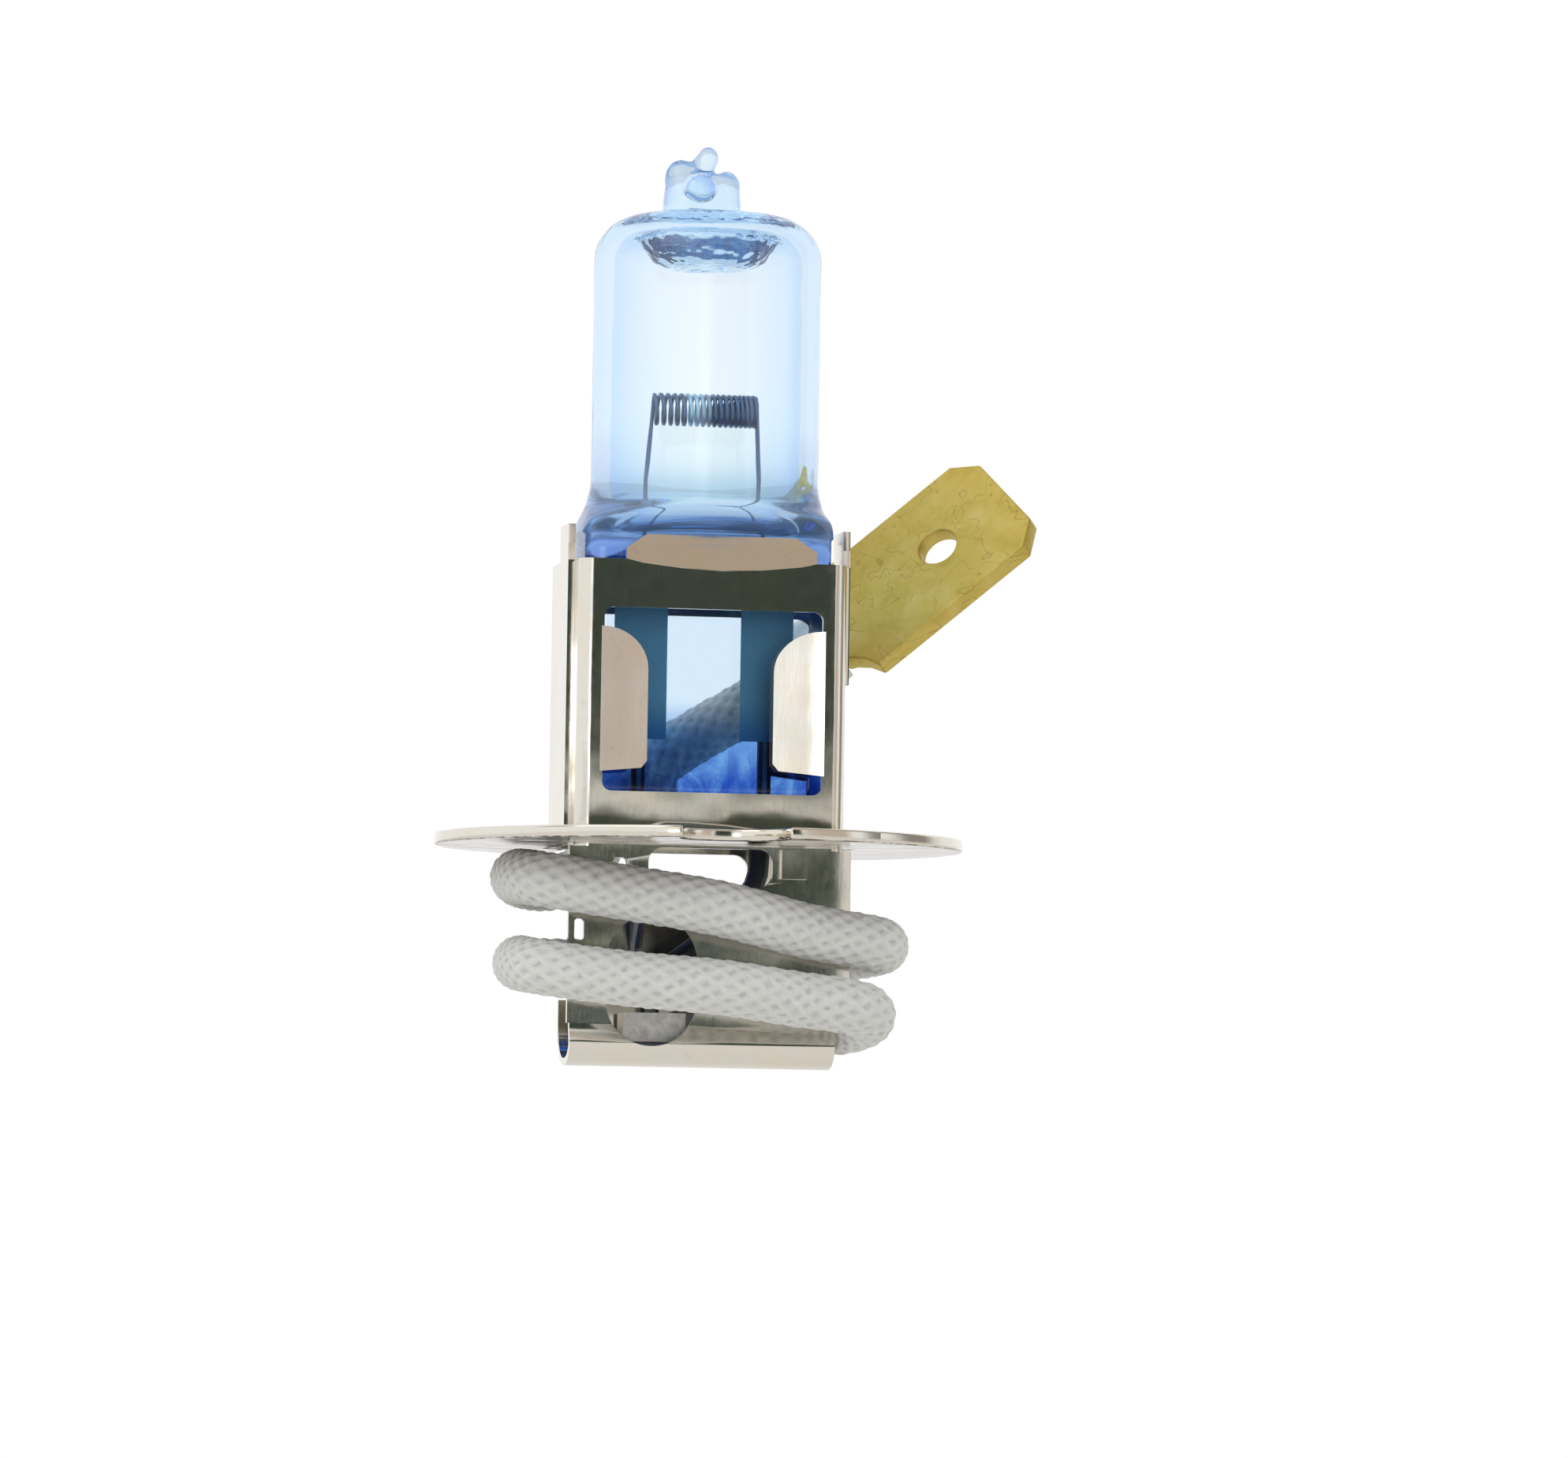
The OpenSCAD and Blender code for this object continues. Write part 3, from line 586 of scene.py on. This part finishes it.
def make_lead():
    """Returns the braided sleeve and its middle line."""
    path = evenly(smooth_curve(LEAD_ROUTE, CURVE_STEPS), LEAD_STEP)
    mesh = tube_mesh("braided_lead_sleeve", path, braid_radius, LEAD_SIDES, Vector((0, 0, 1)))
    piece = add_piece("braided_lead_sleeve", mesh, braid_material(),
                      "braided_lead")
    return piece, path


# ---------------------------------------------------------------- stage and light

FLOOR_Z = mm(-45)
FLOOR_HALF = mm(550)
STUDIO = (1.0, 1.0, 1.0)
# What the metal reflects. Each card has its azimuth from the front, half width, lowest and
# highest elevation, softness and colour, and covers those before it: a warm ceiling, a warm
# wall, a dim one, a low wall in front, the dark side of the room over it, and a window light.
CARDS = ((10, 100, 25, 120, 0.08, (0.5, 0.42, 0.34)),
         (52, 14, -35, 26, 0.12, (0.6, 0.52, 0.48)),
         (100, 14, -25, 40, 0.15, (0.3, 0.29, 0.27)),
         (14, 18, -30, 3, 0.07, (0.25, 0.285, 0.24)),
         (14, 18, -3, 20, 0.06, (0.04, 0.055, 0.043)),
         (-13, 6, -12, 5, 0.06, (3.0, 3.0, 3.1)))
# and what lights the dull parts: plain studio white
SOFT_WHITE = (0.93, 0.93, 0.93)
WORLD_LEVEL = 1.02
MIRROR_BOUNCES, GLASS_BOUNCES, ALL_BOUNCES = 12, 24, 32
KEY_POWER, KEY_SIZE = 0.25, mm(250)    # watts, and the side of its square
KEY_PLACE, KEY_AIM = mm((-180, -160, 260)), mm((0, 0, 10))


def make_stage():
    half = FLOOR_HALF
    mesh = bpy.data.meshes.new("floor")
    mesh.from_pydata([(-half, -half, FLOOR_Z), (half, -half, FLOOR_Z), (half, half, FLOOR_Z),
                      (-half, half, FLOOR_Z)], [], [(0, 1, 2, 3)])
    mesh.materials.append(Surface("floor", Base_Color=(0.8, 0.79, 0.77, 1), Roughness=0.9).material)
    floor = bpy.data.objects.new("floor", mesh)
    bpy.context.scene.collection.objects.link(floor)


def card(tree, direction, azimuth, half_width, low, high, soft):
    """1 inside a soft-edged card of the studio, seen from the lamp, and 0 outside it."""
    nodes, links = tree.nodes, tree.links

    def maths(operation, a, b=None):
        made = nodes.new("ShaderNodeMath")
        made.operation = operation
        for i, value in enumerate((a, b)):
            if isinstance(value, bpy.types.NodeSocket):
                links.new(value, made.inputs[i])
            elif value is not None:
                made.inputs[i].default_value = value
        return made.outputs[0]

    def edge(value, at):
        made = nodes.new("ShaderNodeMapRange")
        made.interpolation_type = "SMOOTHSTEP"
        links.new(value, made.inputs["Value"])
        made.inputs["From Min"].default_value = at - soft
        made.inputs["From Max"].default_value = at + soft
        return made.outputs[0]

    split = nodes.new("ShaderNodeSeparateXYZ")
    turned = nodes.new("ShaderNodeVectorRotate")
    turned.rotation_type = "Z_AXIS"
    turned.inputs["Angle"].default_value = -math.radians(azimuth)
    links.new(direction, turned.inputs["Vector"])
    links.new(turned.outputs[0], split.inputs[0])
    angle = maths("ARCTAN2", split.outputs["X"], maths("MULTIPLY", split.outputs["Y"], -1.0))
    inside = maths("SUBTRACT", 1.0, edge(maths("ABSOLUTE", angle), math.radians(half_width)))
    above = edge(split.outputs["Z"], math.sin(math.radians(low)))
    if high > 90:
        return maths("MULTIPLY", inside, above)
    below = maths("SUBTRACT", 1.0, edge(split.outputs["Z"], math.sin(math.radians(high))))
    return maths("MULTIPLY", inside, maths("MULTIPLY", above, below))


def make_light():
    scene = bpy.context.scene
    world = bpy.data.worlds.new("studio")
    scene.world = world
    world.use_nodes = True
    tree = world.node_tree
    nodes, links = tree.nodes, tree.links
    direction = nodes.new("ShaderNodeTexCoord").outputs["Generated"]

    def mix(fac, a, b):
        made = nodes.new("ShaderNodeMix")
        made.data_type = "RGBA"
        links.new(fac, made.inputs[0])
        for socket, value in ((made.inputs[6], a), (made.inputs[7], b)):
            if isinstance(value, bpy.types.NodeSocket):
                links.new(value, socket)
            else:
                socket.default_value = (*value, 1)
        return made.outputs[2]

    colour = STUDIO
    for *shape, tint in CARDS:
        colour = mix(card(tree, direction, *shape), colour, tint)
    path = nodes.new("ShaderNodeLightPath")
    colour = mix(path.outputs["Is Diffuse Ray"], colour, SOFT_WHITE)
    # the backdrop round the lamp is plain white, seen straight or by way of the glass
    seen = nodes.new("ShaderNodeMath")
    seen.operation = "ADD"
    seen.use_clamp = True
    links.new(path.outputs["Is Camera Ray"], seen.inputs[0])
    links.new(path.outputs["Transmission Depth"], seen.inputs[1])
    background = nodes["Background"]
    links.new(mix(seen.outputs[0], colour, STUDIO), background.inputs["Color"])
    background.inputs["Strength"].default_value = WORLD_LEVEL
    key = bpy.data.lights.new("key", "AREA")
    key.energy = KEY_POWER
    key.size = KEY_SIZE
    lamp = bpy.data.objects.new("key", key)
    lamp.location = KEY_PLACE
    lamp.rotation_euler = (KEY_AIM - KEY_PLACE).to_track_quat("-Z", "Y").to_euler()
    scene.collection.objects.link(lamp)
    scene.view_settings.view_transform = "Standard"
    scene.cycles.glossy_bounces = MIRROR_BOUNCES
    scene.cycles.transmission_bounces = GLASS_BOUNCES
    scene.cycles.max_bounces = ALL_BOUNCES


# ---------------------------------------------------------------- sheet metal

EDGE_ROUND = mm(0.09)
EDGE_SEGMENTS = 3
WELD = mm(0.0001)                   # points nearer than this are one point
FLAT = math.radians(1)              # faces that meet at less than this are one face
SHARP = math.radians(35)            # and edges with more than this are rounded
SQUARE_CUT = math.radians(50)       # a cut edge turns by more than this on both sides
CUT_EDGE = (mm(0.2), mm(0.32))      # and is about as wide as the sheet is thick


def mark_cut_edges(work):
    """Gives the narrow faces along a sheet's edges the second material."""
    for face in work.faces:
        width = 2 * face.calc_area() / face.calc_perimeter()
        if not CUT_EDGE[0] < width < CUT_EDGE[1]:
            continue
        longest = sorted(face.edges, key=lambda edge: edge.calc_length())[-2:]
        if all(edge.calc_face_angle(0) > SQUARE_CUT for edge in longest):
            face.material_index = 1


def crisp_copy(node, name, surface, width=EDGE_ROUND, edge=None):
    """A copy of a CAD node's shape with clean flat faces and rounded edges. Where an edge
    material is given, the sheet's cut edges have it."""
    mesh = NODES[node].data.copy()
    mesh.name = name
    work = bmesh.new()
    work.from_mesh(mesh)
    bmesh.ops.remove_doubles(work, verts=work.verts, dist=WELD)
    bmesh.ops.dissolve_limit(work, angle_limit=FLAT, verts=work.verts, edges=work.edges)
    if edge is not None:
        mark_cut_edges(work)
    work.to_mesh(mesh)
    work.free()
    piece = add_piece(name, mesh, surface, node)
    if edge is not None:
        mesh.materials.append(edge)
    bevel = piece.modifiers.new("bevel", "BEVEL")
    bevel.width = width
    bevel.segments = EDGE_SEGMENTS
    bevel.limit_method = "ANGLE"
    bevel.angle_limit = SHARP
    even = piece.modifiers.new("even", "WEIGHTED_NORMAL")
    even.weight = 100
    even.keep_sharp = True
    settle(piece)


def make_metal():
    plate, edge, tin = nickel(), cut_edge(), tin_plate()
    crisp_copy("front_shell", "cap_front_shell", plate, edge=edge)
    crisp_copy("rear_shell", "cap_rear_shell", plate, edge=edge)
    crisp_copy("flange_disc", "prefocus_flange", plate, width=mm(0.1))
    crisp_copy("blade_terminal", "terminal_blade", brass(), width=mm(0.12))
    crisp_copy("crimp_ferrule", "lead_end_ferrule", tin, width=mm(0.08))
    crisp_copy("splice_ferrule", "splice_piece", tin, width=mm(0.1))


# ---------------------------------------------------------------- glass

GLASS_SIDES = 96
# How many rings of points each stretch of the glass has
ROWS = {"seal": 10, "opening": 28, "tube": 7, "shoulder": 14, "belly": 14, "ceiling": 8}
BELLY_CROWDING = 1.5        # the belly's rings crowd together towards its floor
SQUARE, ROUND = 9, 2        # how square a ring is: the power of its superellipse
GLASS_RADIUS = 4.75
FLARE = 5.3                 # half the width where the press opens into the tube
PINCH = (5.2, 2.0)          # half the width and depth of the press seal
PINCH_Z = (0.8, 12.4)
FOOT_ROUND = ((0, 0.3), (0.12, 0.1), (0.3, 0))  # height over the foot, and how far it draws in
ROUND_Z = 13.7              # the front and back are round from here up
TUBE_Z = 14.8               # and the sides straight
DOME_Z = 26.2
DOME_RISE = 0.25            # of the dome's middle over its shoulder
DOME_SHARES = (0.75, 0.5, 0.25, 0.05)
SHOULDER = 2.1

CAVITY_RADIUS = 3.95
CAVITY_Z = (12.95, 25.1)
WALL = 0.85                 # least thickness of the belly
FILLET = 0.8                # rounding between the cavity's floor and its wall
FLOOR_SHARES = (0.05, 0.3, 0.55, 0.75, 0.9)
FLOOR_DOME = 0.12           # rise of the floor's middle
WALL_Z = 14.0               # the cavity's wall is straight from here up
CEILING = (0.9, 1.1)        # rounding of the cavity's top, inwards and downwards
# The nub that hangs from the dome under the exhaust tip: radius, and drop below the dome
NUB = ((3.0, 0.02), (2.9, 0.1), (2.8, 0.3), (2.65, 0.6), (2.5, 0.85), (2.35, 1.05), (2.15, 1.2),
       (1.9, 1.32), (1.6, 1.38), (1.3, 1.36), (1.05, 1.28), (0.8, 1.2), (0.5, 1.16),
       (0.2, 1.15))
NUB_DEPTH = 0.85            # its depth as a share of its width

# The sealed-off exhaust tip. Its body is a squarish stub: height, half width and half depth
TIP_BODY = ((25.6, 1.66, 1.0), (26.0, 1.64, 1.0), (26.6, 1.6, 0.97), (27.1, 1.55, 0.92),
            (27.45, 1.44, 0.84), (27.65, 1.2, 0.7), (27.73, 0.9, 0.5))
TIP_X, TIP_SQUARE = -0.3, 3.5
# with these lumps on it: x, y, z and the three half sizes
TIP_LUMPS = ((-1.2, 0, 27.5, 0.7, 0.68, 0.84), (-0.8, 0, 27.5, 0.7, 0.7, 0.76),
             (-0.28, 0, 28.0, 0.5, 0.5, 0.6), (-0.06, 0, 28.4, 0.46, 0.48, 0.52),
             (0.72, -0.05, 27.2, 0.6, 0.6, 0.72), (-0.35, -0.72, 26.95, 0.62, 0.5, 0.62))
# and the exhaust tube's bore, closed in the tip
TIP_BORE = (-0.5, 0, 27.05, 0.62, 0.5, 0.52)
MELT_GRAIN = mm(0.06)       # the tip's parts are melted together on a grid of this size,
MELT_PASSES, MELT_STRENGTH = 40, 0.6    # and then smoothed this often and this hard


def ring(half_x, half_y, power, z, x0=0.0):
    """A superellipse: power 2 is an ellipse and larger powers are squarer."""
    points = []
    for k in range(GLASS_SIDES):
        angle = 2 * math.pi * k / GLASS_SIDES
        c, s = math.cos(angle), math.sin(angle)
        x = math.copysign(abs(c) ** (2 / power), c) * half_x
        y = math.copysign(abs(s) ** (2 / power), s) * half_y
        points.append(mm((x + x0, y, z)))
    return points


def opening(z):
    """How far the press has opened into the tube: 0 at the seal and 1 where it is round."""
    return ease((z - PINCH_Z[1]) / (ROUND_Z - PINCH_Z[1]))


def belly(z):
    """Half the depth of the glass where the press opens into the tube."""
    return blend(PINCH[1], GLASS_RADIUS, opening(z))


def envelope_outside():
    rings = []
    for rise, inset in FOOT_ROUND:
        rings.append(ring(PINCH[0] - inset, PINCH[1] - inset, SQUARE, PINCH_Z[0] + rise))
    seal_from = PINCH_Z[0] + FOOT_ROUND[-1][0]
    for share in shares(ROWS["seal"]):
        rings.append(ring(*PINCH, SQUARE, blend(seal_from, PINCH_Z[1], share)))
    for share in shares(ROWS["opening"]):
        z = blend(PINCH_Z[1], TUBE_Z, share)
        half_x = blend(FLARE, GLASS_RADIUS, ease(share))
        rings.append(ring(half_x, belly(z), blend(SQUARE, ROUND, math.sqrt(opening(z))), z))
    for share in shares(ROWS["tube"]):
        z = blend(TUBE_Z, DOME_Z - SHOULDER, share)
        rings.append(ring(GLASS_RADIUS, GLASS_RADIUS, ROUND, z))
    for share in shares(ROWS["shoulder"]):
        angle = 0.5 * math.pi * share
        radius = GLASS_RADIUS - SHOULDER * (1 - math.cos(angle))
        z = DOME_Z - SHOULDER + (SHOULDER - DOME_RISE) * math.sin(angle)
        rings.append(ring(radius, radius, ROUND, z))
    for share in DOME_SHARES:
        radius = (GLASS_RADIUS - SHOULDER) * share
        rings.append(ring(radius, radius, ROUND, DOME_Z - DOME_RISE * share ** 2))
    return rings


def cavity_inside():
    floor, top = CAVITY_Z
    ceiling_x, ceiling_z = CEILING

    def wide(z):
        """Half the width and depth of the lower cavity."""
        rise = min(1.0, (z - floor) / FILLET)
        inset = FILLET * (1 - math.sqrt(max(0.0, 1 - (1 - rise) ** 2)))
        return CAVITY_RADIUS - inset, min(CAVITY_RADIUS, belly(z) - WALL) - inset

    rings = []
    floor_x, floor_y = wide(floor)
    for share in FLOOR_SHARES:
        rings.append(ring(floor_x * share, floor_y * share, ROUND,
                          floor + FLOOR_DOME * (1 - share ** 2)))
    for share in (0, *shares(ROWS["belly"])[:-1]):
        z = blend(floor, WALL_Z, share ** BELLY_CROWDING)
        rings.append(ring(*wide(z), ROUND, z))
    for share in (0, *shares(ROWS["tube"])):
        rings.append(ring(CAVITY_RADIUS, CAVITY_RADIUS, ROUND,
                          blend(WALL_Z, top - ceiling_z, share)))
    for share in shares(ROWS["ceiling"]):
        angle = 0.5 * math.pi * share
        radius = CAVITY_RADIUS - ceiling_x * (1 - math.cos(angle))
        rings.append(ring(radius, radius, ROUND, top - ceiling_z * (1 - math.sin(angle))))
    for radius, drop in NUB:
        rings.append(ring(radius, radius * NUB_DEPTH, ROUND, top - drop))
    return rings


def tip_blob():
    """The exhaust tip: its body and lumps melted into one."""
    work = bmesh.new()
    add_rings(work, [ring(half_x, half_y, TIP_SQUARE, z, TIP_X) for z, half_x, half_y in TIP_BODY])
    for lump in TIP_LUMPS:
        add_lump(work, *lump)
    blob = bpy.data.objects.new("tip_blob", finished(work, "tip_blob"))
    bpy.context.scene.collection.objects.link(blob)
    melt = blob.modifiers.new("melt", "REMESH")
    melt.mode = "VOXEL"
    melt.voxel_size = MELT_GRAIN
    smooth = blob.modifiers.new("smooth", "SMOOTH")
    smooth.iterations = MELT_PASSES
    smooth.factor = MELT_STRENGTH
    return settle(blob)


def make_glass():
    work = bmesh.new()
    add_rings(work, envelope_outside())
    glass = add_piece("glass_bulb", finished(work, "glass_bulb"), blue_glass(),
                      "glass_envelope")
    blob = tip_blob()
    join = glass.modifiers.new("join", "BOOLEAN")
    join.operation = "UNION"
    join.object = blob
    join.solver = "EXACT"
    settle(glass)
    bpy.data.objects.remove(blob)
    work = bmesh.new()
    work.from_mesh(glass.data)
    add_rings(work, cavity_inside(), inside_out=True)
    bore = {face for point in add_lump(work, *TIP_BORE) for face in point.link_faces}
    bmesh.ops.reverse_faces(work, faces=list(bore))
    work.to_mesh(glass.data)
    work.free()
    glass.data.shade_smooth()


# ---------------------------------------------------------------- filament and leads

LIGHT_CENTRE = 17.8
COIL_LENGTH, COIL_RADIUS, COIL_TURNS = 4.4, 0.61, 18
COIL_STRETCH = 1.25         # the first turns are this much wider apart than the average
STEPS_A_TURN = 20
WIRE_RADIUS = mm(0.09)
WIRE_SIDES = 10
LEG_FOOT_X, LEG_FOOT_Z = (-2.6, 2.4), 10
LEG_DROP = 0.3              # a leg leaves the coil this far below its top
LEG_STEPS = 8


def filament_points():
    half = COIL_LENGTH / 2
    steps = COIL_TURNS * STEPS_A_TURN
    coil = []
    for i in range(1, steps):
        angle = 2 * math.pi * i / STEPS_A_TURN
        share = i / steps
        x = -half + COIL_LENGTH * share * (COIL_STRETCH + (1 - COIL_STRETCH) * share)
        coil.append((x, -COIL_RADIUS * math.sin(angle),
                     LIGHT_CENTRE + COIL_RADIUS * math.cos(angle)))
    top_z = LIGHT_CENTRE + COIL_RADIUS - LEG_DROP
    legs = []
    for foot_x, top_x in zip(LEG_FOOT_X, (-half, half)):
        leg = [(foot_x, 0, LEG_FOOT_Z)]
        for share in (0, *shares(LEG_STEPS)):
            leg.append((blend(foot_x, top_x, share), 0, blend(CAVITY_Z[0], top_z, share)))
        legs.append(leg)
    return legs[0] + coil + legs[1][::-1]


def dress(node, surface):
    """Gives a CAD node that stays its own material."""
    piece = NODES[node]
    piece.data.materials.clear()
    piece.data.materials.append(surface)
    for polygon in piece.data.polygons:
        polygon.use_smooth = False


def make_wires():
    points = [mm(p) for p in filament_points()]
    mesh = tube_mesh("filament_coil", points, lambda turn, distance: WIRE_RADIUS, WIRE_SIDES,
                     Vector((0, 1, 0)))
    tungsten = wire_metal("tungsten", (0.11, 0.18, 0.32), 0.3, gleam=(0.38, 0.6, 0.74))
    add_piece("filament_coil", mesh, tungsten, "filament")
    moly = wire_metal("molybdenum", (0.2, 0.21, 0.24), 0.35)
    foil = wire_metal("sealed_foil", (0.12, 0.27, 0.38), 0.4)
    for side in ("left", "right"):
        dress("outer_lead_" + side, moly)
        dress("foil_" + side, foil)
    dress("insulating_sleeve", sleeve_material())
    dress("lead_conductor", copper_strands())


# ---------------------------------------------------------------- the lamp

make_camera()
lead, LEAD_PATH = make_lead()
make_stage()
make_light()
make_metal()
make_wires()
make_glass()
